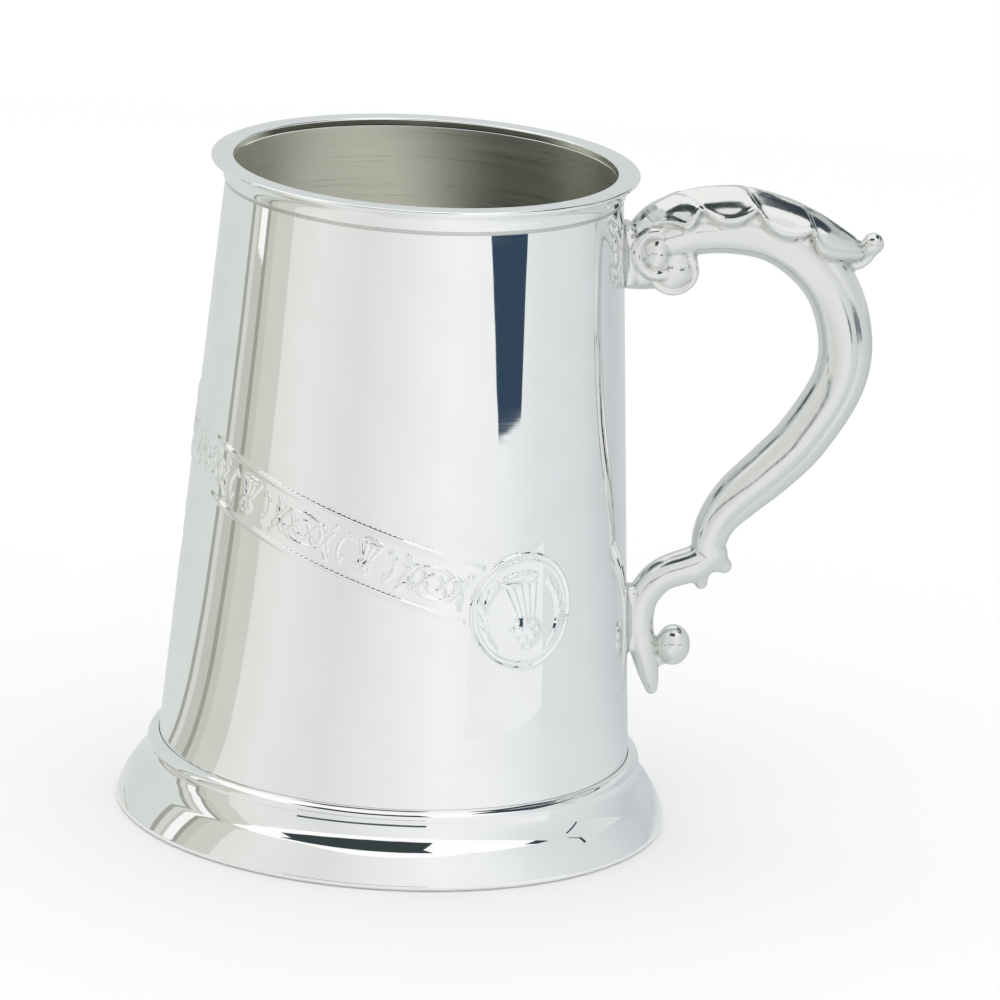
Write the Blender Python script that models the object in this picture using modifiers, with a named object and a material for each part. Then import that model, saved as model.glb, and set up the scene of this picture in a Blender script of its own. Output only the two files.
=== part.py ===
"""A one-pint pewter tankard, built as a pewterer builds it.

A tapered sheet drum is rolled and closed with a soldered seam. A lip ring is hooked over its upper edge, a spun
foot ring is sleeved on its lower end, a disc closes its bottom, and a cast double-scroll handle is soldered on at
two places. Z is the drum's axis, the table is at z = 0, and the handle is on the +X side. Lengths are in metres.
"""

import math

import bmesh
import bpy
from mathutils import Matrix, Vector

MM = 0.001

# Overall sizes: the height, and the drum's outer radius at the neck and at the shoulder of the foot
HEIGHT = 129.0 * MM
NECK_R = 38.2 * MM
SHOULDER_R = 45.8 * MM

# The drum, a cone of sheet
NECK_DROP = 5.2 * MM  # below the top of the lip
SHOULDER_Z = 13.8 * MM
SHEET = 1.1 * MM
DRUM_LOW_Z = 7.2 * MM
SEAM_SLOT = 1.6 * MM

# The lip ring
LIP_R = NECK_R + 2.9 * MM  # widest radius
LIP_HOOK = 1.3 * MM  # metal over the sheet's upper edge
LIP_INNER_ROUND = 0.35 * MM
LIP_EDGE = 0.9 * MM  # height of the lip's outer edge
LIP_FLARE = 3.2 * MM  # height of the hollow under the edge
LIP_HOLLOW = 0.5 * MM  # how far the flare curves in
LIP_TOE = 0.45 * MM  # thickness of the ring where it ends on the drum

# The foot ring
FOOT_R = SHOULDER_R + 7.9 * MM  # widest radius
FOOT_SHEET = 1.5 * MM
QUARTER_ROUND = 1.9 * MM
FLARE_SET_BACK = 0.2 * MM  # of the flare under the quarter round
FLARE_HOLLOW = 0.55 * MM  # how far the flare curves in
CREASE_R = SHOULDER_R + 4.6 * MM  # between the flare and the round edge
CREASE_Z = 7.0 * MM
OVOLO_BULGE = 0.5 * MM
FOOT_EDGE_ROUND = 0.9 * MM
SLEEVE_LOW_Z = 9.9 * MM  # the ring leaves the drum's wall here, inside
REST_WIDTH = 3.0 * MM  # flat ring that meets the table
HEEL_CHAMFER = 0.6 * MM  # inside, over the resting ring
FOOT_FILLET = (0.7 * MM, 1.1 * MM)  # width and height of its solder

# The bottom plate
PLATE = 1.5 * MM
PLATE_UNDERSIDE_Z = 10.4 * MM

# The handle: both of its joints are on the drum, and its outline is drawn for a casting of this span
UPPER_JOINT_DROP = 16.5 * MM
LOWER_JOINT_Z = 39.5 * MM
DRAWN_SPAN = 73.0
ARM_WIDTH = 0.94  # width across the handle, as a share of its depth in the plane of the scroll
LEAF_THICK = 11.0 * MM
LEAF_ROUNDING = 1.6 * MM
PAD_THICK = 1.2 * MM
UPPER_PAD = (9.0 * MM, 11.6 * MM)  # width, height
LOWER_PAD = (5.4 * MM, 13.0 * MM)
PAD_CORNER = 0.3  # corner radius, as a share of the pad's width
PAD_BLOCK_DEPTH = 12.0 * MM  # of the block that a pad is cut from
SEAM_REACH = 40.0 * MM  # of the slab that cuts the drum's seam

# Joints
GAP = 0.3 * MM  # clearance between two solids that the solder would fill
SOLDER = 0.7 * MM  # leg of a solder fillet
SOLDER_FILM = 0.5 * MM  # thickness of the solder behind the handle's pads

ROUND_STEPS = 64
ROD_SIDES = 12
ROD_TURN = math.pi / ROD_SIDES  # puts a flat, not a corner, in the plane of the scroll
BEAD_SIDES = 20
MERGE = 0.01 * MM  # points closer than this are one

# Outlines of the casting in the plane of the scroll: (distance out from the drum's wall, height above the lower
# joint), then a radius where there is one. All are in millimetres on the drawn span.
ARM = [
    (1.5, 73.3, 4.8), (10.3, 77.7, 5.3), (20.7, 79.0, 5.3), (30.8, 76.8, 5.2), (39.4, 69.3, 5.2),
    (42.9, 59.0, 5.2), (41.7, 49.0, 5.2), (35.0, 38.0, 5.2), (28.7, 31.3, 5.1), (22.2, 25.4, 4.7),
    (18.1, 20.5, 3.9), (16.3, 15.5, 3.4), (17.0, 12.7, 3.0), (19.3, 10.9, 1.2),
]
SCROLL = [
    (17.0, 13.4, 3.1), (13.3, 11.3, 3.5), (7.1, 8.8, 3.3), (3.4, 4.4, 3.1), (2.4, -1.0, 3.0),
    (3.5, -7.0, 2.6), (4.6, -12.4, 1.8), (4.9, -14.4, 1.2),
]
TOE = [(13.9, 11.3, 3.0), (14.5, 8.8, 2.0), (14.9, 7.0, 1.0)]
CURL_STEM = [(4.6, -7.6, 1.7), (6.6, -8.0, 1.6), (9.0, -6.6, 1.6)]
VOLUTE_NECK = [(1.2, 70.6, 4.6), (4.5, 70.6, 4.6), (8.8, 70.8, 4.2)]
LEAF = [
    (3.0, 79.3), (5.1, 82.2), (8.9, 84.8), (14.2, 86.4), (20.4, 87.1), (25.4, 86.8), (31.9, 85.1),
    (37.7, 82.6), (43.4, 79.0), (47.6, 76.0), (48.6, 74.2), (45.4, 71.2), (42.2, 71.8), (39.6, 74.1),
    (31.5, 79.0), (24.6, 80.5), (16.5, 80.5), (8.4, 79.0), (4.3, 77.0),
]
VOLUTE = (9.1, 70.9, 5.4)
LEAF_BEAD = (48.5, 76.6, 2.15)
CURL_BEAD = (9.2, -5.3, 3.4)
BEAD_TALL = 1.2  # the curl's bead is this much taller than it is deep


def body_r(z):
    """The drum's outer radius at a height."""
    neck_z = HEIGHT - NECK_DROP
    return SHOULDER_R + (z - SHOULDER_Z) * (NECK_R - SHOULDER_R) / (neck_z - SHOULDER_Z)


def arc(centre, radii, start, end, count):
    """Points on an elliptic arc, both ends included; angles are in degrees from +X."""
    points = []
    for i in range(count + 1):
        angle = math.radians(start + (end - start) * i / count)
        points.append((centre[0] + radii[0] * math.cos(angle), centre[1] + radii[1] * math.sin(angle)))
    return points


def bulged(start, end, bulge, count):
    """Points on the arc from start to end that stands out by bulge on the left, both ends included."""
    points = []
    across = Vector((end[0] - start[0], end[1] - start[1]))
    left = Vector((-across.y, across.x)).normalized()
    for i in range(count + 1):
        share = i / count
        place = Vector(start) + across * share + left * bulge * 4 * share * (1 - share)
        points.append((place.x, place.y))
    return points


def clear_scene():
    for item in list(bpy.data.objects):
        bpy.data.objects.remove(item, do_unlink=True)


def collection(name):
    group = bpy.data.collections.new(name)
    bpy.context.scene.collection.children.link(group)
    return group


def metal(name, colour, roughness):
    material = bpy.data.materials.new(name)
    material.use_nodes = True
    shader = material.node_tree.nodes["Principled BSDF"]
    shader.inputs["Base Color"].default_value = (*colour, 1.0)
    shader.inputs["Metallic"].default_value = 1.0
    shader.inputs["Roughness"].default_value = roughness
    return material


def place(name, mesh, group, material=None):
    item = bpy.data.objects.new(name, mesh)
    group.objects.link(item)
    if material:
        mesh.materials.append(material)
    return item


def move_to(item, group):
    """Takes an object out of every collection it is in and puts it in one."""
    for owner in list(item.users_collection):
        owner.objects.unlink(item)
    group.objects.link(item)


def turned(name, outline, group, material=None, closed=True):
    """A solid turned about Z from an outline of (radius, height), its outer side first and downwards.

    An outline that isn't closed starts and ends on the axis.
    """
    mesh = bpy.data.meshes.new(name)
    points = [(radius, 0.0, height) for radius, height in outline]
    edges = [(i, i + 1) for i in range(len(points) - 1)]
    if closed:
        edges.append((len(points) - 1, 0))
    mesh.from_pydata(points, edges, [])
    item = place(name, mesh, group, material)
    screw = item.modifiers.new("turn", "SCREW")
    screw.axis = "Z"
    screw.angle = math.tau
    screw.steps = ROUND_STEPS
    screw.render_steps = ROUND_STEPS
    screw.use_merge_vertices = True
    screw.merge_threshold = MERGE
    screw.use_smooth_shade = True
    return item


def disc(name, radius, low, high, group, material):
    bpy.ops.mesh.primitive_cylinder_add(
        vertices=ROUND_STEPS, radius=radius, depth=high - low, location=(0, 0, (low + high) / 2)
    )
    item = bpy.context.object
    item.name = name
    item.data.name = name
    move_to(item, group)
    item.data.materials.append(material)
    return item


def hide_cutter(item):
    item.hide_render = True
    item.display_type = "WIRE"


def join(item, other, operation, group):
    """Applies a Boolean with another object, which stays behind as a hidden cutter."""
    boolean = item.modifiers.new(operation.lower(), "BOOLEAN")
    boolean.operation = operation
    boolean.solver = "EXACT"
    boolean.object = other
    hide_cutter(other)
    move_to(other, group)


def scroll_point(out, up):
    """A drawn point of the casting, set off from the drum's wall and fitted between the two joints."""
    span = HEIGHT - UPPER_JOINT_DROP - LOWER_JOINT_Z
    height = LOWER_JOINT_Z + up / DRAWN_SPAN * span
    return Vector((body_r(height) + out * MM, 0.0, height))


def as_mesh(item):
    """Replaces a curve object by a mesh with its caps welded."""
    bpy.context.view_layer.update()
    evaluated = item.evaluated_get(bpy.context.evaluated_depsgraph_get())
    mesh = bpy.data.meshes.new_from_object(evaluated)
    work = bmesh.new()
    work.from_mesh(mesh)
    bmesh.ops.remove_doubles(work, verts=work.verts, dist=MERGE)
    bmesh.ops.recalc_face_normals(work, faces=work.faces)
    work.to_mesh(mesh)
    work.free()
    name = item.name
    group = item.users_collection[0]
    stand = item.matrix_world.copy()
    bpy.data.objects.remove(item)
    solid = bpy.data.objects.new(name, mesh)
    group.objects.link(solid)
    solid.matrix_world = stand
    return solid


def rod(name, points, group, resolution=4):
    """A round rod through drawn points, each with its own radius, and a little narrower across the handle."""
    curve = bpy.data.curves.new(name, "CURVE")
    curve.dimensions = "3D"
    curve.bevel_depth = MM
    curve.bevel_resolution = ROD_SIDES // 2 - 2
    curve.use_fill_caps = True
    curve.resolution_u = resolution
    curve.twist_mode = "MINIMUM"
    spline = curve.splines.new("BEZIER")
    spline.bezier_points.add(len(points) - 1)
    for knot, (out, up, radius) in zip(spline.bezier_points, points):
        knot.co = scroll_point(out, up)
        knot.radius = radius
        knot.tilt = ROD_TURN
        knot.handle_left_type = "AUTO"
        knot.handle_right_type = "AUTO"
    item = bpy.data.objects.new(name, curve)
    group.objects.link(item)
    solid = as_mesh(item)
    solid.data.transform(Matrix.Diagonal((1.0, ARM_WIDTH, 1.0, 1.0)))
    return solid


def plate(name, points, thick, group):
    """A flat outline in the plane of the scroll, thickened across it and softened at its edges."""
    curve = bpy.data.curves.new(name, "CURVE")
    curve.dimensions = "2D"
    curve.fill_mode = "BOTH"
    curve.extrude = thick / 2
    spline = curve.splines.new("POLY")
    spline.points.add(len(points) - 1)
    spline.use_cyclic_u = True
    for knot, (out, up) in zip(spline.points, points):
        spot = scroll_point(out, up)
        knot.co = (spot.x, spot.z, 0.0, 1.0)
    item = bpy.data.objects.new(name, curve)
    group.objects.link(item)
    item.rotation_euler = (math.radians(90), 0.0, 0.0)
    return as_mesh(item)


def bead(name, spot, group, tall=1.0):
    out, up, radius = spot
    bpy.ops.mesh.primitive_uv_sphere_add(
        segments=BEAD_SIDES, ring_count=BEAD_SIDES * 3 // 5, radius=radius * MM, location=scroll_point(out, up)
    )
    item = bpy.context.object
    item.name = name
    item.scale = (1.0, 1.0, tall)
    move_to(item, group)
    return item


def cone_cutter(name, clearance, group):
    """The drum's outside, grown by a clearance and longer than the handle at both ends."""
    low = 0.0
    high = HEIGHT
    outline = [(0.0, high), (body_r(high) + clearance, high), (body_r(low) + clearance, low), (0.0, low)]
    item = turned(name, outline, group, closed=False)
    hide_cutter(item)
    return item


def pad_block(name, centre_z, size, proud, group):
    """A soft-cornered block through the drum's wall, which it leans with and stands proud of."""
    width, height = size
    depth = PAD_BLOCK_DEPTH
    lean = math.atan2(SHOULDER_R - NECK_R, HEIGHT - NECK_DROP - SHOULDER_Z)
    bpy.ops.mesh.primitive_cube_add(size=1.0, location=(body_r(centre_z), 0.0, centre_z))
    item = bpy.context.object
    item.name = name
    item.rotation_euler.y = -lean
    item.data.transform(Matrix.Diagonal((depth, width, height, 1.0)))
    item.data.transform(Matrix.Translation((proud - depth / 2, 0.0, 0.0)))
    move_to(item, group)
    corners = item.modifiers.new("corners", "BEVEL")
    corners.width = PAD_CORNER * width
    corners.segments = 4
    corners.limit_method = "WEIGHT"
    along_x = [edge for edge in item.data.edges if is_along_x(item.data, edge)]
    weights = item.data.attributes.new("bevel_weight_edge", "FLOAT", "EDGE")
    for edge in along_x:
        weights.data[edge.index].value = 1.0
    return item


def is_along_x(mesh, edge):
    start, end = (mesh.vertices[i].co for i in edge.vertices)
    return abs(start.y - end.y) < 1e-7 and abs(start.z - end.z) < 1e-7


def drum(parts, cutters, material):
    top = HEIGHT - LIP_HOOK - GAP
    outline = [
        (body_r(top), top),
        (body_r(DRUM_LOW_Z), DRUM_LOW_Z),
        (body_r(DRUM_LOW_Z) - SHEET, DRUM_LOW_Z),
        (body_r(top) - SHEET, top),
    ]
    item = turned("drum", outline, parts, material)
    slot = seam_block("seam_slot", SEAM_SLOT, 0.0, HEIGHT, cutters)
    join(item, slot, "DIFFERENCE", cutters)
    return item


def seam_block(name, width, low, high, group):
    """An upright slab through the drum's wall behind the handle."""
    bpy.ops.mesh.primitive_cube_add(size=1.0, location=(SHOULDER_R, 0.0, (low + high) / 2))
    item = bpy.context.object
    item.name = name
    item.data.transform(Matrix.Diagonal((SEAM_REACH, width, high - low, 1.0)))
    move_to(item, group)
    return item


def seam_solder(parts, cutters, material):
    """The strip of solder that fills the slot in the drum, level with the sheet inside and out."""
    low = DRUM_LOW_Z
    high = HEIGHT - LIP_HOOK - GAP
    outline = [
        (body_r(high), high),
        (body_r(low), low),
        (body_r(low) - SHEET, low),
        (body_r(high) - SHEET, high),
    ]
    item = turned("drum_seam_solder", outline, parts, material)
    strip = seam_block("seam_strip", SEAM_SLOT - 2 * GAP, 0.0, HEIGHT, cutters)
    join(item, strip, "INTERSECT", cutters)
    return item


def lip_ring(parts, material):
    top = HEIGHT
    edge_low = top - LIP_EDGE
    toe_z = edge_low - LIP_FLARE
    hook_z = top - LIP_HOOK
    mouth_r = body_r(hook_z) - SHEET
    outline = arc((LIP_R - LIP_EDGE / 2, top - LIP_EDGE / 2), (LIP_EDGE / 2, LIP_EDGE / 2), 90, -45, 4)
    toe_r = body_r(toe_z) + GAP + LIP_TOE
    outline += bulged((LIP_R - LIP_EDGE, edge_low), (toe_r, toe_z), -LIP_HOLLOW, 4)
    outline += [(body_r(toe_z) + GAP, toe_z), (body_r(hook_z) + GAP, hook_z), (mouth_r, hook_z)]
    outline += arc(
        (mouth_r + LIP_INNER_ROUND, top - LIP_INNER_ROUND), (LIP_INNER_ROUND, LIP_INNER_ROUND), 180, 90, 3
    )
    return turned("lip_ring", outline, parts, material)


def lip_solder(parts, material):
    top = HEIGHT - LIP_EDGE - LIP_FLARE - GAP
    low = top - SOLDER
    outline = [
        (body_r(top) + GAP + LIP_TOE, top),
        (body_r(low) + GAP, low),
        (body_r(top) + GAP, top),
    ]
    return turned("lip_solder", outline, parts, material)


def foot_outside():
    """The foot's outer line from its upper edge down: a quarter round, a flare and a round edge."""
    upper_r = body_r(SHOULDER_Z) + GAP
    corner_z = SHOULDER_Z - QUARTER_ROUND
    line = arc((upper_r, corner_z), (QUARTER_ROUND, QUARTER_ROUND), 90, 0, 4)
    flare_top = (upper_r + QUARTER_ROUND - FLARE_SET_BACK, corner_z - FLARE_SET_BACK)
    line += bulged(flare_top, (CREASE_R, CREASE_Z), -FLARE_HOLLOW, 4)
    line += bulged((CREASE_R, CREASE_Z), (FOOT_R, FOOT_EDGE_ROUND), OVOLO_BULGE, 5)[1:]
    line += arc(
        (FOOT_R - FOOT_EDGE_ROUND, FOOT_EDGE_ROUND), (FOOT_EDGE_ROUND, FOOT_EDGE_ROUND), 0, -90, 3
    )[1:]
    return line


def foot_ring(parts, material):
    rest_in = FOOT_R - FOOT_EDGE_ROUND - REST_WIDTH
    edge_in = FOOT_R - FOOT_SHEET
    inward = FOOT_SHEET * math.sin(math.pi / 4)
    crease_in = (CREASE_R - inward, CREASE_Z - inward)
    inside = [(rest_in, 0.0), (rest_in, FOOT_SHEET), (edge_in - HEEL_CHAMFER, FOOT_SHEET)]
    edge_corner = (edge_in, FOOT_EDGE_ROUND + FOOT_SHEET)
    inside += bulged(crease_in, edge_corner, OVOLO_BULGE, 3)[:0:-1]
    inside += bulged((body_r(SLEEVE_LOW_Z) + GAP, SLEEVE_LOW_Z), crease_in, -FLARE_HOLLOW, 3)[::-1]
    return turned("foot_ring", foot_outside() + inside, parts, material)


def foot_solder(parts, material):
    """A fillet inside the foot, in the corner between its flare and the drum's lower edge."""
    width, height = FOOT_FILLET
    low = DRUM_LOW_Z
    top = low + height
    wall = body_r(low) + GAP
    outline = [(wall + width, low), (wall, low), (body_r(top) + GAP, top)]
    return turned("foot_solder", outline, parts, material)


def bottom_plate(parts, material):
    low = PLATE_UNDERSIDE_Z
    high = low + PLATE
    radius = body_r(high) - SHEET - GAP
    return disc("bottom_plate", radius, low, high, parts, material)


def bottom_solder(parts, material):
    top = PLATE_UNDERSIDE_Z - GAP
    low = top - SOLDER
    wall = body_r(top) - SHEET - GAP
    outline = [(wall, top), (wall, low), (wall - SOLDER, top)]
    return turned("bottom_solder", outline, parts, material)


def handle(parts, cutters, material):
    arm = rod("handle", ARM, parts)
    arm.data.materials.append(material)
    scroll = rod("scroll", SCROLL, cutters)
    toe = rod("toe", TOE, cutters, 2)
    stem = rod("curl_stem", CURL_STEM, cutters, 3)
    neck = rod("volute_neck", VOLUTE_NECK, cutters, 2)
    leaf = plate("leaf", LEAF, LEAF_THICK, cutters)
    soft = leaf.modifiers.new("soft_edges", "BEVEL")
    soft.width = LEAF_ROUNDING
    soft.segments = 3
    soft.limit_method = "ANGLE"
    soft.angle_limit = math.radians(60)
    volute = bead("volute", VOLUTE, cutters)
    leaf_bead = bead("leaf_bead", LEAF_BEAD, cutters)
    curl_bead = bead("curl_bead", CURL_BEAD, cutters, BEAD_TALL)
    pad_face = 2 * GAP + SOLDER_FILM
    upper = pad_block("upper_pad", HEIGHT - UPPER_JOINT_DROP, UPPER_PAD, pad_face + PAD_THICK, cutters)
    lower = pad_block("lower_pad", LOWER_JOINT_Z, LOWER_PAD, pad_face + PAD_THICK, cutters)
    for piece in (leaf, neck, upper, volute, leaf_bead, scroll, lower, toe, stem, curl_bead):
        join(arm, piece, "UNION", cutters)
    join(arm, cone_cutter("handle_seat", pad_face, cutters), "DIFFERENCE", cutters)
    return arm


def pad_solder(name, centre_z, size, parts, cutters, material):
    """The film of solder between the drum and one pad of the handle."""
    item = pad_block(name, centre_z, size, PAD_BLOCK_DEPTH / 2, parts)
    item.data.materials.append(material)
    join(item, cone_cutter(name + "_outside", GAP + SOLDER_FILM, cutters), "INTERSECT", cutters)
    join(item, cone_cutter(name + "_inside", GAP, cutters), "DIFFERENCE", cutters)
    return item


def main():
    clear_scene()
    parts = collection("pewter_tankard")
    cutters = collection("cutters")
    bright = metal("polished_pewter", (0.83, 0.84, 0.84), 0.06)
    cast = metal("cast_pewter", (0.80, 0.81, 0.80), 0.14)
    solder = metal("solder", (0.72, 0.73, 0.73), 0.3)
    drum(parts, cutters, bright)
    seam_solder(parts, cutters, solder)
    lip_ring(parts, bright)
    lip_solder(parts, solder)
    foot_ring(parts, bright)
    foot_solder(parts, solder)
    bottom_plate(parts, bright)
    bottom_solder(parts, solder)
    handle(parts, cutters, cast)
    pad_solder("upper_handle_solder", HEIGHT - UPPER_JOINT_DROP, UPPER_PAD, parts, cutters, solder)
    pad_solder("lower_handle_solder", LOWER_JOINT_Z, LOWER_PAD, parts, cutters, solder)


main()
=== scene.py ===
"""The looks of a pewter tankard: mirror-polished body with a stamped band and medallion, and a cast handle.

Everything is in metres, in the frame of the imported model: Z is the drum's axis and the handle is on the
+X side.
"""

import math

import bmesh
import bpy
import numpy as np
from mathutils import Matrix, Vector


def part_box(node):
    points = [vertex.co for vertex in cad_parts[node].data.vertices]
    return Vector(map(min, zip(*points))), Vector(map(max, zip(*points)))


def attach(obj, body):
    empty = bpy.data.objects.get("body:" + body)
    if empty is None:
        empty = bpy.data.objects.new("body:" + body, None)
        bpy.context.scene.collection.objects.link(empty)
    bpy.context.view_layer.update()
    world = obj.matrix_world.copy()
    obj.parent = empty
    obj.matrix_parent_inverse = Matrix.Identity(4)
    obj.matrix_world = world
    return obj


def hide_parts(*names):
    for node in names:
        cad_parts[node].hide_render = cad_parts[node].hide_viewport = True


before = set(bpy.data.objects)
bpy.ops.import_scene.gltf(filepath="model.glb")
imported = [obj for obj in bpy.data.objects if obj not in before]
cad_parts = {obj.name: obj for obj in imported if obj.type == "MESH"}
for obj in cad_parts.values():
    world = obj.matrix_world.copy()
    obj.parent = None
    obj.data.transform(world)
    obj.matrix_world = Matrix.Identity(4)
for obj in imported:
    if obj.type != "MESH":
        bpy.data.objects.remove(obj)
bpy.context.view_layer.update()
MM = 0.001

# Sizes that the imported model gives
DRUM_LOW, DRUM_HIGH = (Vector(corner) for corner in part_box("drum"))
LIP_HIGH = Vector(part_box("lip_ring")[1])
FOOT_HIGH = Vector(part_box("foot_ring")[1])
PLATE_LOW, PLATE_HIGH = (Vector(corner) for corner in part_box("bottom_plate"))
HEIGHT = LIP_HIGH.z
LIP_R = LIP_HIGH.x
FOOT_R = FOOT_HIGH.x
FOOT_TOP = FOOT_HIGH.z
UPPER_JOINT, LOWER_JOINT = (
    (Vector(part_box(node)[0]) + Vector(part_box(node)[1])) / 2
    for node in ("upper_handle_solder", "lower_handle_solder")
)

# The drum
WALL_LEAN = 0.0691  # radius lost for each unit of height
SHEET = 1.1 * MM
DRUM_STEPS = 224
DRUM_ROW = 1.5 * MM
STAMP_CUTS = 4
SMOOTH_STEPS = 192  # around the other turned pieces

# The stamped band and medallion, on the sheet laid flat
MEDALLION_TURN = math.radians(-62.5)
MEDALLION_Z = 51.4 * MM
MEDALLION_R = 11.4 * MM
BAND_SLANT = math.radians(19.6)
BAND_HALF = 5.42 * MM  # from the middle to either border line
BAND_START = 11.6 * MM
FIRST_KNOT = 19.4 * MM
REPEAT = 27.5 * MM
BORDER_TALL = 0.34 * MM
BORDER_HALF = 0.75 * MM  # half the width of a border line
MOTIF_TALL = 0.3 * MM

# The handle's outlines are drawn for joints this far apart
DRAWN_SPAN = 73.0
ARM_WIDTH = 0.94  # width across the handle, as a share of its depth
HANDLE_VOXEL = 0.3 * MM
MELT_SMOOTHINGS = 4
UPPER_PAD = (9.0 * MM, 11.6 * MM)  # width and height
LOWER_PAD = (5.4 * MM, 13.0 * MM)
PAD_PROUD = 1.9 * MM
DOME_RINGS = 4  # rings in a rod's rounded end


def body_r(z):
    """The drum's outer radius at a height."""
    return -DRUM_LOW.x - (z - DRUM_LOW.z) * WALL_LEAN


# ---------------------------------------------------------------- materials


def tone(code):
    """An sRGB hex colour as linear red, green, blue and alpha."""
    shares = [int(code[i:i + 2], 16) / 255 for i in (1, 3, 5)]
    linear = [s / 12.92 if s <= 0.04045 else ((s + 0.055) / 1.055) ** 2.4 for s in shares]
    return (*linear, 1.0)


def add(tree, kind, settings=None, values=None, links=None):
    """Adds a node: settings are its properties, values its inputs, and links its inputs fed by sockets."""
    new = tree.nodes.new(kind)
    for key, value in (settings or {}).items():
        setattr(new, key, value)
    for key, value in (values or {}).items():
        new.inputs[key].default_value = value
    for key, socket in (links or {}).items():
        tree.links.new(socket, new.inputs[key])
    return new


def metal(name, colour, roughness):
    """A bare metal with its shader, to which patterns are added."""
    material = bpy.data.materials.new(name)
    material.use_nodes = True
    tree = material.node_tree
    shader = tree.nodes["Principled BSDF"]
    shader.inputs["Base Color"].default_value = tone(colour)
    shader.inputs["Metallic"].default_value = 1.0
    shader.inputs["Roughness"].default_value = roughness
    return material, tree, shader


def buffed_pewter():
    """Lead-free pewter sheet buffed to a mirror: sharp reflections, faint wheel marks and slow ripples."""
    material, tree, shader = metal("buffed_pewter_sheet", "#ecedec", 0.05)
    place = add(tree, "ShaderNodeTexCoord").outputs["Object"]
    # Buffing-wheel marks run round the drum, drawn 0.5 mm apart, which is coarser than real, to show
    marks_place = add(tree, "ShaderNodeMapping", {}, {"Scale": (0.05, 0.05, 1.0)}, {"Vector": place})
    marks = add(
        tree, "ShaderNodeTexNoise", {}, {"Scale": 1 / (0.5 * MM), "Detail": 3.0},
        {"Vector": marks_place.outputs[0]},
    )
    haze = add(
        tree, "ShaderNodeMapRange", {},
        {"From Min": 0.35, "From Max": 0.7, "To Min": 0.018, "To Max": 0.04}, {"Value": marks.outputs[0]},
    )
    tree.links.new(haze.outputs[0], shader.inputs["Roughness"])
    # Slow ripples left by rolling the sheet, about 18 mm across
    ripples = add(
        tree, "ShaderNodeTexNoise", {}, {"Scale": 1 / (18 * MM), "Detail": 1.0}, {"Vector": place}
    )
    fine = add(
        tree, "ShaderNodeBump", {}, {"Strength": 0.02, "Distance": 0.02 * MM}, {"Height": marks.outputs[0]}
    )
    slow = add(
        tree, "ShaderNodeBump", {}, {"Strength": 0.35, "Distance": 0.12 * MM},
        {"Height": ripples.outputs[0], "Normal": fine.outputs[0]},
    )
    tree.links.new(slow.outputs[0], shader.inputs["Normal"])
    # Faint stains in the polish, about 9 mm across
    stain = add(
        tree, "ShaderNodeTexNoise", {}, {"Scale": 1 / (9 * MM), "Detail": 4.0}, {"Vector": place}
    )
    colour = add(
        tree, "ShaderNodeMix", {"data_type": "RGBA"}, {6: tone("#f0f1ef"), 7: tone("#f8f9f9")},
        {0: stain.outputs[0]},
    )
    tree.links.new(colour.outputs[2], shader.inputs["Base Color"])
    return material


def turned_satin(name, dark, light, across):
    """Pewter left from the lathe tool: satin, with fine turning lines in a duller, warmer grey.

    Across is the way in which the lines follow one another: up a wall, or out from the middle of a disc.
    """
    material, tree, shader = metal(name, light, 0.36)
    # A thin oxide skin scatters some of the light, and the turning lines draw highlights out across them
    shader.inputs["Metallic"].default_value = 0.7
    shader.inputs["Anisotropic"].default_value = 0.85
    shader.inputs["Anisotropic Rotation"].default_value = 0.25
    around = add(tree, "ShaderNodeTangent", {"direction_type": "RADIAL", "axis": "Z"})
    tree.links.new(around.outputs[0], shader.inputs["Tangent"])
    place = add(tree, "ShaderNodeTexCoord").outputs["Object"]
    if across == "up":
        lines_place = add(tree, "ShaderNodeMapping", {}, {"Scale": (0.02, 0.02, 1.0)}, {"Vector": place})
        place_out = lines_place.outputs[0]
    else:
        flat = add(tree, "ShaderNodeMapping", {}, {"Scale": (1.0, 1.0, 0.0)}, {"Vector": place})
        reach = add(tree, "ShaderNodeVectorMath", {"operation": "LENGTH"}, links={0: flat.outputs[0]})
        place_out = add(tree, "ShaderNodeCombineXYZ", links={0: reach.outputs["Value"]}).outputs[0]
    # Tool marks are 0.4 mm apart, drawn at 0.8 mm so that they show
    lines = add(
        tree, "ShaderNodeTexNoise", {}, {"Scale": 1 / (0.8 * MM), "Detail": 4.0, "Roughness": 0.65},
        {"Vector": place_out},
    )
    colour = add(
        tree, "ShaderNodeMix", {"data_type": "RGBA"}, {6: tone(dark), 7: tone(light)}, {0: lines.outputs[0]}
    )
    tree.links.new(colour.outputs[2], shader.inputs["Base Color"])
    polish = add(
        tree, "ShaderNodeMapRange", {},
        {"From Min": 0.3, "From Max": 0.7, "To Min": 0.24, "To Max": 0.42}, {"Value": lines.outputs[0]},
    )
    tree.links.new(polish.outputs[0], shader.inputs["Roughness"])
    relief = add(
        tree, "ShaderNodeBump", {}, {"Strength": 0.15, "Distance": 0.06 * MM}, {"Height": lines.outputs[0]}
    )
    tree.links.new(relief.outputs[0], shader.inputs["Normal"])
    return material


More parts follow.
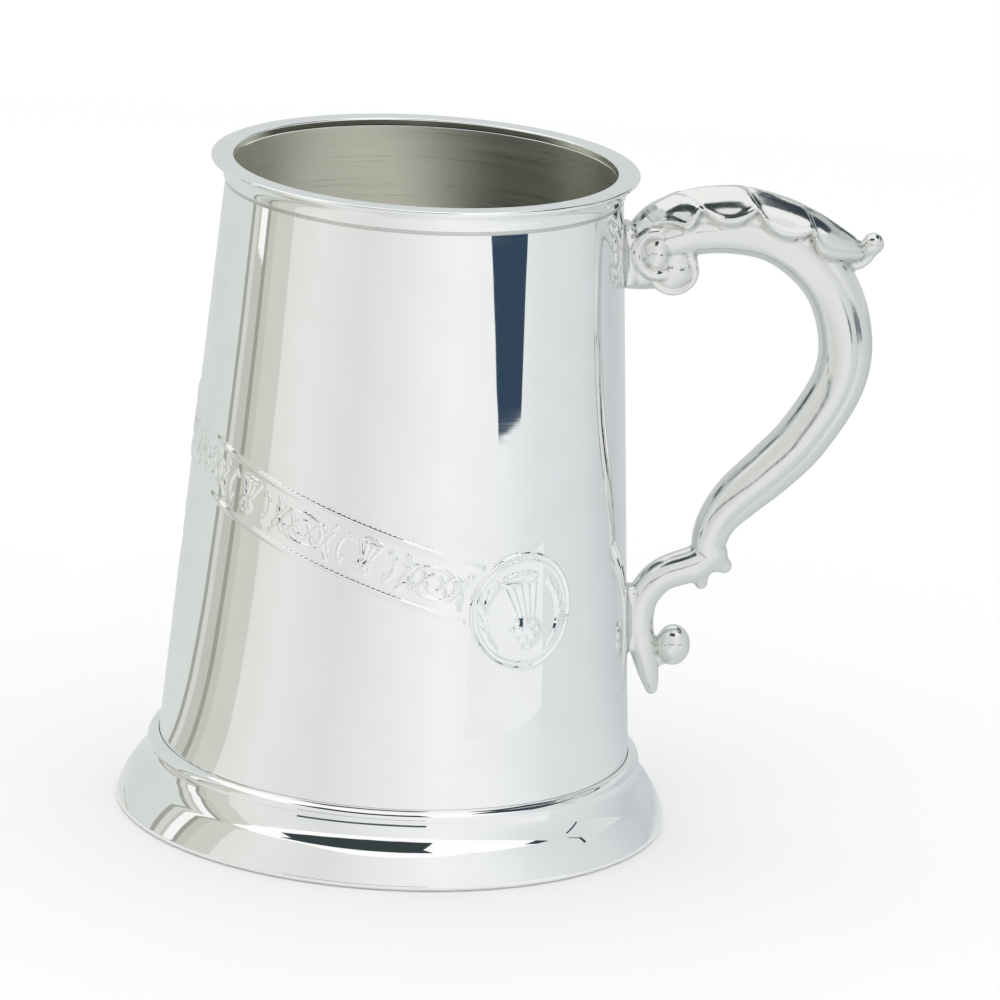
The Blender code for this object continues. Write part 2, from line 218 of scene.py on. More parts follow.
def cast_pewter():
    """Cast pewter, filed and buffed: a soft shine with a faint grain, and a darker grey painted into the
    hollows as shade.
    """
    material, tree, shader = metal("buffed_cast_pewter", "#e2e3df", 0.13)
    place = add(tree, "ShaderNodeTexCoord").outputs["Object"]
    # The mould's sand leaves a grain about 1.2 mm across
    grain = add(
        tree, "ShaderNodeTexNoise", {}, {"Scale": 1 / (1.2 * MM), "Detail": 5.0, "Roughness": 0.6},
        {"Vector": place},
    )
    shine = add(
        tree, "ShaderNodeMapRange", {},
        {"From Min": 0.3, "From Max": 0.7, "To Min": 0.09, "To Max": 0.2}, {"Value": grain.outputs[0]},
    )
    tree.links.new(shine.outputs[0], shader.inputs["Roughness"])
    # Painted shade: the base colour turns a darker grey where the mesh is hollow, by its pointiness, to stand
    # for the shade in the hollows
    hollows = add(tree, "ShaderNodeNewGeometry").outputs["Pointiness"]
    unshaded = add(
        tree, "ShaderNodeMapRange", {},
        {"From Min": 0.44, "From Max": 0.5, "To Min": 0.0, "To Max": 1.0}, {"Value": hollows},
    )
    colour = add(
        tree, "ShaderNodeMix", {"data_type": "RGBA"}, {6: tone("#8f8f86"), 7: tone("#e4e5e2")},
        {0: unshaded.outputs[0]},
    )
    tree.links.new(colour.outputs[2], shader.inputs["Base Color"])
    relief = add(
        tree, "ShaderNodeBump", {}, {"Strength": 0.2, "Distance": 0.05 * MM}, {"Height": grain.outputs[0]}
    )
    tree.links.new(relief.outputs[0], shader.inputs["Normal"])
    return material


def tin_solder():
    """Tin solder, run in and scraped flush: greyer and duller than the pewter, with a grainy skin."""
    material, tree, shader = metal("scraped_tin_solder", "#d2d3d0", 0.22)
    place = add(tree, "ShaderNodeTexCoord").outputs["Object"]
    # Scraping leaves grains about 0.6 mm across
    grain = add(
        tree, "ShaderNodeTexNoise", {}, {"Scale": 1 / (0.6 * MM), "Detail": 4.0}, {"Vector": place}
    )
    colour = add(
        tree, "ShaderNodeMix", {"data_type": "RGBA"}, {6: tone("#bdbeba"), 7: tone("#dcdddb")},
        {0: grain.outputs[0]},
    )
    tree.links.new(colour.outputs[2], shader.inputs["Base Color"])
    relief = add(
        tree, "ShaderNodeBump", {}, {"Strength": 0.4, "Distance": 0.08 * MM}, {"Height": grain.outputs[0]}
    )
    tree.links.new(relief.outputs[0], shader.inputs["Normal"])
    return material


# ---------------------------------------------------------------- modelling helpers


def arc(centre, radii, start, end, count):
    """Points on an elliptic arc, both ends included; angles are in degrees from +X."""
    points = []
    for i in range(count + 1):
        angle = math.radians(start + (end - start) * i / count)
        points.append((centre[0] + radii[0] * math.cos(angle), centre[1] + radii[1] * math.sin(angle)))
    return points


def bulged(start, end, bulge, count):
    """Points on the arc from start to end that stands out by bulge on the left, both ends included."""
    points = []
    across = Vector((end[0] - start[0], end[1] - start[1]))
    left = Vector((-across.y, across.x)).normalized()
    for i in range(count + 1):
        share = i / count
        place = Vector(start) + across * share + left * bulge * 4 * share * (1 - share)
        points.append((place.x, place.y))
    return points


def spin_outline(outline, steps, closed=True):
    """A mesh in the making, turned about Z from an outline of (radius, height)."""
    work = bmesh.new()
    line = [work.verts.new((radius, 0.0, height)) for radius, height in outline]
    ends = line[1:] + line[:1] if closed else line[1:]
    edges = [work.edges.new(pair) for pair in zip(line, ends)]
    bmesh.ops.spin(
        work, geom=line + edges, axis=(0, 0, 1), cent=(0, 0, 0), angle=math.tau, steps=steps, use_merge=True
    )
    bmesh.ops.remove_doubles(work, verts=work.verts, dist=0.000001)
    bmesh.ops.recalc_face_normals(work, faces=work.faces)
    return work


def finish_piece(name, work, materials, nodes, sharp=50):
    """Makes the piece's object, gives it its finish, and puts it on the model in place of its CAD nodes."""
    mesh = bpy.data.meshes.new(name)
    work.to_mesh(mesh)
    work.free()
    piece = bpy.data.objects.new(name, mesh)
    bpy.context.scene.collection.objects.link(piece)
    for material in materials:
        mesh.materials.append(material)
    mesh.shade_smooth()
    mesh.set_sharp_from_angle(angle=math.radians(sharp))
    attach(piece, "root")
    for node in nodes:
        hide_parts(node)
    return piece


# ---------------------------------------------------------------- the stamped pattern


def stroke(points, width, tall):
    """A raised line of the pattern: its points, its half width and its height, in millimetres."""
    return [(start, end, width, tall) for start, end in zip(points, points[1:])]


def dots(centres, width, tall):
    return [(centre, centre, width, tall) for centre in centres]


def mirrored(points):
    return [(-x, y) for x, y in points]


def small_thistle():
    """A thistle head between two curved leaves, upright on the band, about its own middle."""
    tall = MOTIF_TALL / MM
    bulb = (0.0, -2.0)
    marks = dots([bulb], 2.15, 0.62 * tall)
    for row in range(-1, 2):
        count = 3 - abs(row)
        marks += dots([((i - (count - 1) / 2) * 1.25, bulb[1] + row * 1.05) for i in range(count)], 0.5, tall)
    for i in range(4):
        spread = (i - 1.5) / 1.5
        marks += stroke([(spread * 0.95, 0.1), (spread * 2.1, 2.9)], 0.42, tall)
    marks += stroke(arc((0.0, 3.35), (2.5, 0.5), 0, 360, 12), 0.36, tall)
    leaf = arc((-2.6, 0.0), (3.1, 3.7), 128, 232, 8)
    marks += stroke(leaf, 0.42, tall) + stroke(mirrored(leaf), 0.42, tall)
    marks += dots([(-4.4, -1.9), (4.4, -1.9), (-4.1, 2.4), (4.1, 2.4)], 0.5, tall)
    return marks


def knot():
    """Two ovals and two waving strands laced through one another, with knobs at the strands' ends."""
    tall = MOTIF_TALL / MM
    marks = stroke(arc((0, 0), (4.3, 3.0), 0, 360, 28), 0.45, tall)
    marks += stroke(arc((0, 0), (1.9, 1.35), 0, 360, 16), 0.4, 0.9 * tall)
    steps = 30
    for side in (-1, 1):
        strand = []
        for i in range(steps + 1):
            x = -6.3 + 12.6 * i / steps
            strand.append((x, side * 3.0 * math.cos(math.pi * x / 3.7) * (0.55 + 0.07 * abs(x))))
        marks += stroke(strand, 0.42, tall)
        for end in (-1, 1):
            tip = (end * 6.4, side * 3.3)
            marks += stroke([(end * 4.7, side * 1.5), (end * 5.6, side * 2.1), tip], 0.45, tall)
            marks += dots([tip], 0.62, 1.1 * tall)
    return marks


def toothed_leaf(side):
    """A long leaf with a saw-toothed outer edge, on one side of the medallion."""
    tall = MOTIF_TALL / MM
    spine = arc((side * 1.0, -1.0), (7.4, 7.9), 128 if side < 0 else 52, 228 if side < 0 else -48, 12)
    marks = []
    for i, (start, end) in enumerate(zip(spine, spine[1:])):
        fullness = math.sin(math.pi * (i + 0.6) / 12.5)
        marks += stroke([start, end], 0.5 + 0.6 * fullness, 0.8 * tall)
        if i % 2 == 0:
            tooth = (start[0] + side * 1.05 * fullness, start[1] + 0.75)
            marks += stroke([end, tooth], 0.42, tall)
    marks += stroke(spine, 0.25, 1.25 * tall)
    marks += dots([spine[0]], 0.6, 1.2 * tall)
    return marks


def medallion_marks():
    """A thistle head with a crown of bars between two leaves, inside a double ring."""
    tall = MOTIF_TALL / MM
    edge = MEDALLION_R / MM
    marks = stroke(arc((0, 0), (edge - 0.35, edge - 0.35), 0, 360, 72), 0.5, BORDER_TALL / MM)
    marks += stroke(arc((0, 0), (edge - 1.45, edge - 1.45), 0, 360, 64), 0.32, 0.6 * BORDER_TALL / MM)
    bulb = (0.4, -4.1)
    marks += dots([bulb], 4.0, 0.8 * tall)
    for row in range(-1, 3):
        count = (4, 3, 4, 3)[row + 1]
        centres = [(bulb[0] + (i - (count - 1) / 2) * 1.9, bulb[1] - 1.0 + row * 1.6) for i in range(count)]
        marks += dots([c for c in centres if math.dist(c, bulb) < 3.5], 0.72, 1.5 * tall)
    crown_foot, crown_top = -0.5, 4.9
    for i in range(5):
        spread = (i - 2) / 2
        foot = (bulb[0] - 0.2 + spread * 1.9, crown_foot)
        top = (-0.9 + spread * 3.3, crown_top + 0.35 * spread)
        marks += stroke([foot, top], 0.6, tall)
    rim = arc((0, 0), (3.7, 0.95), 0, 360, 24)
    tilt = math.radians(7)
    rim = [
        (-0.9 + x * math.cos(tilt) - y * math.sin(tilt), 6.4 + x * math.sin(tilt) + y * math.cos(tilt))
        for x, y in rim
    ]
    marks += stroke(rim, 0.42, tall)
    return marks + toothed_leaf(-1) + toothed_leaf(1)


def mark_height(across, up, marks):
    """The height in millimetres, at each place, of a set of marks."""
    height = np.zeros_like(across)
    for (x0, y0), (x1, y1), width, tall in marks:
        run, rise = x1 - x0, y1 - y0
        length = run * run + rise * rise
        share = np.zeros_like(across)
        if length > 0:
            share = np.clip(((across - x0) * run + (up - y0) * rise) / length, 0, 1)
        away = np.hypot(across - x0 - share * run, up - y0 - share * rise) / width
        height = np.maximum(height, tall * np.clip(1 - away**2, 0, 1) ** 1.6)
    return height


def laid_flat(places):
    """Places on the wall as millimetres right of and above the medallion's middle, on the sheet laid flat."""
    turn = np.arctan2(places[:, 1], places[:, 0]) - MEDALLION_TURN
    turn = np.where(turn > -MEDALLION_TURN, turn - math.tau, turn)
    lean = math.atan(WALL_LEAN)
    # The sheet was rolled from a sector of a flat ring about the cone's tip
    reach = body_r(places[:, 2]) / math.sin(lean)
    middle = body_r(MEDALLION_Z) / math.sin(lean)
    angle = turn * math.sin(lean)
    return reach * np.sin(angle) / MM, (middle - reach * np.cos(angle)) / MM


def along_band(across, up):
    """The same places as millimetres along the band, away from the medallion, and across it."""
    cos, sin = math.cos(BAND_SLANT), math.sin(BAND_SLANT)
    return up * sin - across * cos, across * sin + up * cos


def stamped_height(places):
    """How far the stamped pattern stands out of the wall, in metres."""
    across, up = laid_flat(places)
    run, off = along_band(across, up)
    width = BAND_HALF / MM
    height = np.zeros_like(run)
    for side in (-1, 1):
        away = np.hypot(np.minimum(run - BAND_START / MM, 0), off - side * width) / BORDER_HALF * MM
        height = np.maximum(height, BORDER_TALL / MM * np.clip(1 - away**2, 0, 1) ** 1.3)
    repeat = REPEAT / MM
    past = (run - FIRST_KNOT / MM + repeat / 4) % repeat
    for on_motif, middle, marks in (
        (past < repeat / 2, repeat / 4, knot()), (past >= repeat / 2, repeat * 3 / 4, small_thistle()),
    ):
        picked = on_motif & (run > BAND_START / MM) & (np.abs(off) < width)
        raised = mark_height(middle - past[picked], off[picked], marks)
        height[picked] = np.maximum(height[picked], raised)
    centre = np.hypot(across, up) * MM
    height[centre < MEDALLION_R] = 0
    picked = centre < MEDALLION_R + MM
    height[picked] = np.maximum(height[picked], mark_height(across[picked], up[picked], medallion_marks()))
    return height * MM


def wall_directions(places):
    """Out from the wall, around it and up along it, at each place."""
    flat = places[:, :2] / np.hypot(places[:, 0], places[:, 1])[:, None]
    lean = math.atan(WALL_LEAN)
    rise = np.full((len(places), 1), 1.0)
    out = np.hstack([flat * math.cos(lean), rise * math.sin(lean)])
    around = np.hstack([-flat[:, 1:], flat[:, :1], rise * 0])
    up = np.hstack([-flat * math.sin(lean), rise * math.cos(lean)])
    return out, around, up


def stamped_normals(places, stamped):
    """The wall's exact normals, tilted by the slope of the pattern where there is one."""
    out, around, up = wall_directions(places)
    normals = out.copy()
    reach = 0.05 * MM
    picked = places[stamped]
    for direction in (around[stamped], up[stamped]):
        slope = stamped_height(picked + direction * reach) - stamped_height(picked - direction * reach)
        normals[stamped] -= direction * (slope / (2 * reach))[:, None]
    return normals / np.linalg.norm(normals, axis=1)[:, None]


def is_stamped(places, margin):
    """Which places are on or near the band or the medallion."""
    across, up = laid_flat(places)
    run, off = along_band(across, up)
    band = (run > 0) & (np.abs(off) < (BAND_HALF + margin) / MM)
    return band | (np.hypot(across, up) < (MEDALLION_R + margin) / MM)


# ---------------------------------------------------------------- turned pieces


def polished_drum(outside, inside):
    """The rolled sheet, with a fine mesh only where the pattern is stamped."""
    top = DRUM_HIGH.z
    low = DRUM_LOW.z
    rows = round((top - low) / DRUM_ROW)
    heights = [top - (top - low) * i / rows for i in range(rows + 1)]
    wall = [(body_r(z), z) for z in heights]
    inner = [(body_r(z) - SHEET, z) for z in [low] + heights[-9:0:-9] + [top]]
    work = spin_outline(wall + inner, DRUM_STEPS)

    def wall_places(margin):
        work.verts.index_update()
        places = np.array([v.co for v in work.verts])
        outer = np.hypot(places[:, 0], places[:, 1]) > body_r(places[:, 2]) - SHEET / 2
        return places, outer, outer & is_stamped(places, margin)

    _, _, stamped = wall_places(3.0 * MM)
    edges = [e for e in work.edges if all(stamped[v.index] for v in e.verts)]
    bmesh.ops.subdivide_edges(work, edges=edges, cuts=STAMP_CUTS, use_grid_fill=True)
    places, outer, stamped = wall_places(2.0 * MM)
    radius = body_r(places[:, 2])
    normals = stamped_normals(places, stamped)
    radius[stamped] += stamped_height(places[stamped])
    for vert in work.verts:
        if outer[vert.index]:
            flat = vert.co.xy.normalized() * radius[vert.index]
            vert.co = (flat.x, flat.y, vert.co.z)
    normals[~outer] *= -1
    for face in work.faces:
        if all(not outer[v.index] for v in face.verts):
            face.material_index = 1
    piece = finish_piece(
        "rolled_drum", work, [outside, inside], ["drum", "drum_seam_solder"], 180
    )
    piece.data.normals_split_custom_set_from_vertices(normals.tolist())
    return piece


def lip_moulding(material):
    """The ring hooked over the sheet's upper edge: a round outer edge, a hollow flare and a thin toe."""
    edge = 0.9 * MM
    hook = 1.3 * MM
    flare = 3.2 * MM
    hollow = 0.55 * MM
    toe = 0.45 * MM
    seat = 0.05 * MM
    soft = 0.35 * MM
    top = HEIGHT
    toe_z = top - edge - flare
    mouth = body_r(top - hook) - SHEET
    outline = arc((LIP_R - edge / 2, top - edge / 2), (edge / 2, edge / 2), 90, -60, 8)
    outline += bulged((LIP_R - edge * 0.9, top - edge), (body_r(toe_z) + toe, toe_z), -hollow, 12)
    outline += arc((body_r(toe_z) + toe / 2, toe_z), (toe / 2, toe / 2), 0, -90, 3)[1:]
    outline += [(body_r(toe_z) + seat, toe_z - toe / 2), (body_r(top - hook) + seat, top - hook)]
    outline += [(mouth, top - hook)]
    outline += arc((mouth + soft, top - soft), (soft, soft), 180, 90, 5)
    # The top face is flat between its two soft edges
    outline += bulged((mouth + soft, top), (LIP_R - edge / 2, top), 0.0, 6)[1:-1]
    work = spin_outline(outline, SMOOTH_STEPS)
    return finish_piece("lip_moulding", work, [material], ["lip_ring"], 40)


def lip_fillet(material):
    """Solder drawn in under the lip's toe, slightly hollow."""
    low, high = (Vector(corner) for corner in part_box("lip_solder"))
    top = high.z + 0.3 * MM
    leg = 0.35 * MM
    outline = [(body_r(top) + leg, top)]
    outline += bulged((body_r(top) + leg, top), (body_r(low.z) + 0.02 * MM, low.z), -0.1 * MM, 5)[1:]
    outline += [(body_r(low.z) - 0.1 * MM, low.z), (body_r(top) - 0.1 * MM, top)]
    work = spin_outline(outline, SMOOTH_STEPS)
    return finish_piece("lip_solder_fillet", work, [material], ["lip_solder"], 40)


def foot_moulding(material, hidden):
    """The spun foot: a quarter round, a hollow flare, a soft crease and a round edge over the table."""
    sheet = 1.5 * MM
    quarter = 1.9 * MM
    set_back = 0.2 * MM
    hollow = 0.55 * MM
    bulge = 0.5 * MM
    round_edge = 0.9 * MM
    rest = 3.0 * MM
    soft = 0.3 * MM
    heel = 0.6 * MM
    seat = 0.05 * MM
    lift = 0.12 * MM  # rounds the ring's thin upper edge
    crease = Vector((FOOT_R - 3.3 * MM, 7.0 * MM))
    crease_in = crease - Vector((1.0, 1.0)).normalized() * sheet
    edge_in = (FOOT_R - sheet, round_edge + sheet)
    corner_z = FOOT_TOP - quarter
    upper = body_r(FOOT_TOP) + seat
    sleeve_z = FOOT_TOP - 3.9 * MM
    line = arc((upper + lift, corner_z), (quarter + lift + 0.01 * MM, quarter), 92, 0, 12)
    # The flare goes down steeply to a faint knee, and then out to the crease
    knee = (upper + quarter + 0.6 * MM, FOOT_TOP - 4.0 * MM)
    line += bulged((line[-1][0] - set_back, corner_z - set_back), knee, -0.05 * MM, 5)
    line += bulged(knee, crease, -0.12 * MM, 10)[1:]
    line += bulged(crease, (FOOT_R, round_edge), 0.2 * MM, 16)[1:]
    line += arc((FOOT_R - round_edge, round_edge), (round_edge, round_edge), 0, -90, 6)[1:]
    rest_in = FOOT_R - round_edge - rest
    inside = arc((rest_in + soft, soft), (soft, soft), 270, 180, 3)
    inside += [(rest_in, sheet), (edge_in[0] - heel, sheet)]
    inside += bulged(crease_in, edge_in, bulge, 8)[:0:-1]
    inside += bulged((body_r(sleeve_z) + seat, sleeve_z), crease_in, -hollow, 8)[::-1]
    work = spin_outline(line + inside, SMOOTH_STEPS)
    for face in work.faces:
        middle = face.calc_center_median()
        if face.normal.xy.dot(middle.xy) < 0 and middle.z > 0.4 * MM:
            face.material_index = 1
    return finish_piece("foot_moulding", work, [material, hidden], ["foot_ring"], 40)


def foot_fillet(material):
    """Solder in the narrow corner between the flare and the drum, hollow where it ran in."""
    low, high = (Vector(corner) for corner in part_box("foot_solder"))
    flare = high.x + 0.4 * MM
    top = high.z + 1.0 * MM
    wall = body_r(low.z) + 0.05 * MM
    outline = bulged((flare, low.z + 0.2 * MM), (wall, low.z - 0.4 * MM), 0.15 * MM, 5)
    outline += [(body_r(top) + 0.05 * MM, top), (body_r(top) + 0.35 * MM, top)]
    work = spin_outline(outline, SMOOTH_STEPS)
    return finish_piece("foot_solder_fillet", work, [material], ["foot_solder"], 40)


def base_disc(inside, underside):
    """The disc that closes the drum, with a soft upper corner and a slightly dished underside."""
    low, high = PLATE_LOW.z, PLATE_HIGH.z
    edge = body_r(low) - SHEET - 0.08 * MM
    outline = [(0.0, high)] + [(edge * i / 10, high) for i in range(1, 10)]
    outline += arc((edge - 0.4 * MM, high - 0.4 * MM), (0.4 * MM, 0.4 * MM), 90, 0, 4)
    outline += arc((edge - 0.3 * MM, low + 0.3 * MM), (0.3 * MM, 0.3 * MM), 0, -90, 3)
    outline += [(edge * i / 10, low) for i in range(9, 0, -1)] + [(0.0, low)]
    work = spin_outline(outline, SMOOTH_STEPS, closed=False)
    for face in work.faces:
        if face.normal.z < -0.5:
            face.material_index = 1
    return finish_piece("base_disc", work, [inside, underside], ["bottom_plate"], 40)


def base_fillet(material):
    """Solder in the corner under the disc, hollow between the disc and the wall."""
    low, high = (Vector(corner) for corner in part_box("bottom_solder"))
    wall = body_r(high.z) - SHEET - 0.05 * MM
    leg = high.z - low.z + 0.4 * MM
    outline = [(wall, high.z + 0.3 * MM), (wall, high.z - leg)]
    outline += bulged((wall, high.z - leg), (wall - leg, high.z + 0.3 * MM), -0.25 * MM, 6)[1:]
    work = spin_outline(outline, SMOOTH_STEPS)
    return finish_piece("base_solder_fillet", work, [material], ["bottom_solder"], 40)


# ---------------------------------------------------------------- the handle

ARM = [
    (1.5, 73.3, 4.8), (10.3, 77.7, 5.3), (20.7, 79.0, 5.3), (30.8, 76.8, 5.2), (39.4, 69.3, 5.2),
    (42.9, 59.0, 5.2), (41.7, 49.0, 5.2), (35.0, 38.0, 5.2), (28.7, 31.3, 5.1), (22.2, 25.4, 4.7),
    (18.1, 20.5, 3.9), (16.3, 15.5, 3.4), (17.3, 12.7, 3.0), (19.3, 11.1, 1.6),
]
SCROLL = [
    (17.0, 13.4, 3.1), (13.3, 11.3, 3.5), (7.1, 8.8, 3.3), (3.4, 4.4, 3.1), (2.4, -1.0, 3.0),
    (3.5, -7.0, 2.6), (4.6, -12.4, 1.8), (4.9, -14.4, 1.2),
]
TOE = [(13.9, 11.3, 3.0), (14.4, 8.9, 2.2), (14.8, 7.4, 1.3)]
CURL_STEM = [(4.6, -7.6, 1.7), (6.6, -8.0, 1.6), (9.0, -6.6, 1.6)]
VOLUTE_NECK = [(1.2, 70.6, 4.6), (4.5, 70.6, 4.6), (8.8, 70.8, 4.2)]
RIDGE = [
    (3.0, 79.3), (5.1, 82.2), (8.9, 84.8), (14.2, 86.4), (20.4, 87.1), (25.4, 86.8), (31.9, 85.1),
    (37.7, 82.6), (43.4, 79.0), (47.6, 76.0),
]
VOLUTE = (9.1, 70.9, 5.4)
LEAF_BEAD = (48.5, 76.6, 2.15)
CURL_BEAD = (9.2, -5.3, 3.4)
FIRST_CREASE = 9.0 * MM  # along the ridge, from the leaf's root
LOBE_PITCH = 12.5 * MM
LOBE_SWEEP = 4.4 * MM  # how far a crease runs towards the tip on its way down
LEAF_ROOT = 9 * MM
LEAF_HALF = 6.1 * MM
LEAF_DROP = 6.6 * MM
LEAF_METAL = 1.5 * MM
LEAF_RIM = 0.35 * MM
SCOOP = 0.6 * MM
LEAF_GRID = (170, 60)


def scroll_point(out, up):
    """A drawn point of the casting, set off from the drum's wall and fitted between the two joints."""
    height = LOWER_JOINT.z + up / DRAWN_SPAN * (UPPER_JOINT.z - LOWER_JOINT.z)
    return Vector((body_r(height) + out * MM, 0.0, height))


def smooth_run(knots, steps):
    """A smooth run of values through knots, steps to each gap, both ends included."""
    knots = [np.array(knot, float) for knot in knots]
    run = []
    for i in range(len(knots) - 1):
        before = knots[max(i - 1, 0)]
        after = knots[min(i + 2, len(knots) - 1)]
        start_slope = (knots[i + 1] - before) / 2
        end_slope = (after - knots[i]) / 2
        for j in range(steps):
            t = j / steps
            run.append(
                knots[i] * (2 * t**3 - 3 * t**2 + 1) + start_slope * (t**3 - 2 * t**2 + t)
                + knots[i + 1] * (3 * t**2 - 2 * t**3) + end_slope * (t**3 - t**2)
            )
    return run + [knots[-1]]


def skin(work, rings):
    """Covers a row of rings by extruding one ring through all their places, and closes both ends."""
    ring = bmesh.ops.create_circle(work, segments=len(rings[0]), radius=MM, cap_ends=False)["verts"]
    first = list(ring)
    for vert, place in zip(ring, rings[0]):
        vert.co = place
    for places in rings[1:]:
        edges = [work.edges.get((a, b)) for a, b in zip(ring, ring[1:] + ring[:1])]
        made = bmesh.ops.extrude_edge_only(work, edges=edges)["geom"]
        fresh = {v for v in made if isinstance(v, bmesh.types.BMVert)}
        ring = [next(e.other_vert(v) for e in v.link_edges if e.other_vert(v) in fresh) for v in ring]
        for vert, place in zip(ring, places):
            vert.co = place
    work.faces.new(first)
    work.faces.new(ring)


def rod(work, knots, steps=8, sides=24, shape=None, side=0.0):
    """A rod through drawn points, with domed ends, and maybe off to one side.

    Shape may draw its section in or out at each angle.
    """
    run = smooth_run([(*scroll_point(out, up).xz, radius * MM) for out, up, radius in knots], steps)
    last = len(run) - 1
    stations = []
    for i, (x, z, radius) in enumerate(run):
        ahead = run[min(i + 1, last)] - run[max(i - 1, 0)]
        along = Vector((ahead[0], 0.0, ahead[1])).normalized()
        stations.append((Vector((x, 0.0, z)), along, radius, i / last))

    def domed(end, way):
        spot, along, radius, share = end
        turns = [math.pi / 2 * i / (DOME_RINGS + 0.4) for i in range(1, DOME_RINGS + 1)]
        return [
            (spot + along * way * radius * math.sin(turn), along, radius * math.cos(turn), share)
            for turn in turns
        ]

    stations = domed(stations[0], -1)[::-1] + stations + domed(stations[-1], 1)
    rings = []
    for spot, along, radius, share in stations:
        outward = Vector((-along.z, 0.0, along.x))
        places = []
        for i in range(sides):
            angle = math.tau * i / sides
            reach = radius * (shape(angle, share) if shape else 1.0)
            sideways = Vector((0.0, math.sin(angle) * reach * ARM_WIDTH + side * MM, 0.0))
            places.append(spot + outward * math.cos(angle) * reach + sideways)
        rings.append(places)
    skin(work, rings)


def ball(work, spot, stretch=(1.0, 1.0, 1.0), side=0.0, segments=28):
    """A ball at a drawn point, maybe stretched and off to one side."""
    out, up, radius = spot
    place = Matrix.Translation(scroll_point(out, up) + Vector((0.0, side * MM, 0.0)))
    bmesh.ops.create_uvsphere(
        work, u_segments=segments, v_segments=segments // 2, radius=radius * MM,
        matrix=place @ Matrix.Diagonal((*stretch, 1.0)),
    )


def arm_section(angle, share):
    """The arm is round inside, with a groove along each side and a slightly flattened back beyond it."""
    from_back = min(angle, math.tau - angle)
    groove = math.exp(-(((from_back - 1.2) / 0.17) ** 2))
    fade = min(1.0, max(0.0, (0.86 - share) / 0.1))
    flat = 0.02 * math.cos(2 * from_back) if from_back < 1.2 else 0.0
    return 1.0 - (0.06 * groove - flat) * fade


def leaf_shell(work):
    """The thumb leaf: a saddle over the arm whose sides are scooped into lobes that sweep towards its tip."""
    run = np.array(smooth_run([tuple(scroll_point(*point).xz) for point in RIDGE], 12))
    lengths = np.concatenate([[0], np.cumsum(np.hypot(*np.diff(run, axis=0).T))])
    total = lengths[-1]

    def ridge(distance):
        return Vector((np.interp(distance, lengths, run[:, 0]), 0.0, np.interp(distance, lengths, run[:, 1])))

    def place(distance, side, inset):
        along = (ridge(min(distance + 0.5 * MM, total)) - ridge(max(distance - 0.5 * MM, 0))).normalized()
        normal = Vector((-along.z, 0.0, along.x))
        depth = abs(side)
        past = distance - LOBE_SWEEP * depth - FIRST_CREASE
        lobe = past / LOBE_PITCH % 1 if past > 0 else max(0.45, 1 + past / FIRST_CREASE)
        grow = min(1.0, distance / LEAF_ROOT)
        shrink = min(1.0, (total - distance) / LEAF_ROOT)
        # The rim hangs low in the middle of a lobe and runs up to a cusp between two lobes
        hang = math.sin(math.pi * lobe) ** 0.6
        reach = math.radians(52 + 33 * hang) * (0.6 + 0.4 * grow) * (0.75 + 0.25 * shrink)
        wide = LEAF_HALF * (0.72 + 0.28 * grow) * (0.42 + 0.58 * shrink**0.5) - 0.8 * inset
        deep = LEAF_DROP * (0.6 + 0.4 * grow) * (0.86 + 0.14 * shrink) - 0.3 * inset
        # Each lobe comes out from under the one before it, so there is a step at every crease
        scoop = SCOOP * (0.3 * math.sin(math.pi * lobe) + 0.7 * (1 - lobe) ** 2)
        scoop *= min(1.0, 6 * depth, 0.15 + 7 * (1 - depth)) * grow
        rim = LEAF_RIM * math.exp(-(((depth - 0.94) / 0.07) ** 2))
        turn = depth * reach
        away = math.copysign(1, side)
        spot = ridge(distance) - normal * (inset + deep * (1 - math.cos(turn)))
        spot.y = away * wide * math.sin(turn)
        outward = normal * math.cos(turn) + Vector((0.0, away * math.sin(turn), 0.0))
        return spot + outward * (rim - scoop if inset == 0 else 0.0)

    made = bmesh.ops.create_grid(work, x_segments=LEAF_GRID[0], y_segments=LEAF_GRID[1], size=0.5)["verts"]
    drawn = {vert: ((vert.co.x + 0.5) * total, vert.co.y * 2) for vert in made}
    faces = list({face for vert in made for face in vert.link_faces})
    lower = bmesh.ops.extrude_face_region(work, geom=faces, use_keep_orig=True)["geom"]
    for vert in [item for item in lower if isinstance(item, bmesh.types.BMVert)]:
        vert.co = place((vert.co.x + 0.5) * total, vert.co.y * 2, LEAF_METAL)
    for vert, (distance, side) in drawn.items():
        vert.co = place(distance, side, 0.0)


def leaf_core(work):
    """Metal between the leaf and the arm, so that the leaf is solid until its tip turns away."""
    knots = [(3.0, 75.5, 3.6), (8.5, 79.6, 4.6), (20.0, 81.6, 4.9), (31.0, 79.8, 4.6), (38.0, 76.2, 3.6)]
    rod(work, knots, 8, 20)


def pad(work, joint, width, height, depth):
    """A soft-cornered seat where the casting meets the drum."""
    place = Matrix.Translation((body_r(joint.z), 0.0, joint.z))
    place = place @ Matrix.Rotation(-math.atan(WALL_LEAN), 4, "Y")
    stretch = Matrix.Diagonal((2 * depth, width, height, 1))
    made = bmesh.ops.create_cube(work, size=1.0, matrix=place @ stretch)
    edges = list({edge for vert in made["verts"] for edge in vert.link_edges})
    bmesh.ops.bevel(
        work, geom=edges, offset=min(depth, width) * 0.45, segments=5, profile=0.5, affect="EDGES",
        material=-1,
    )


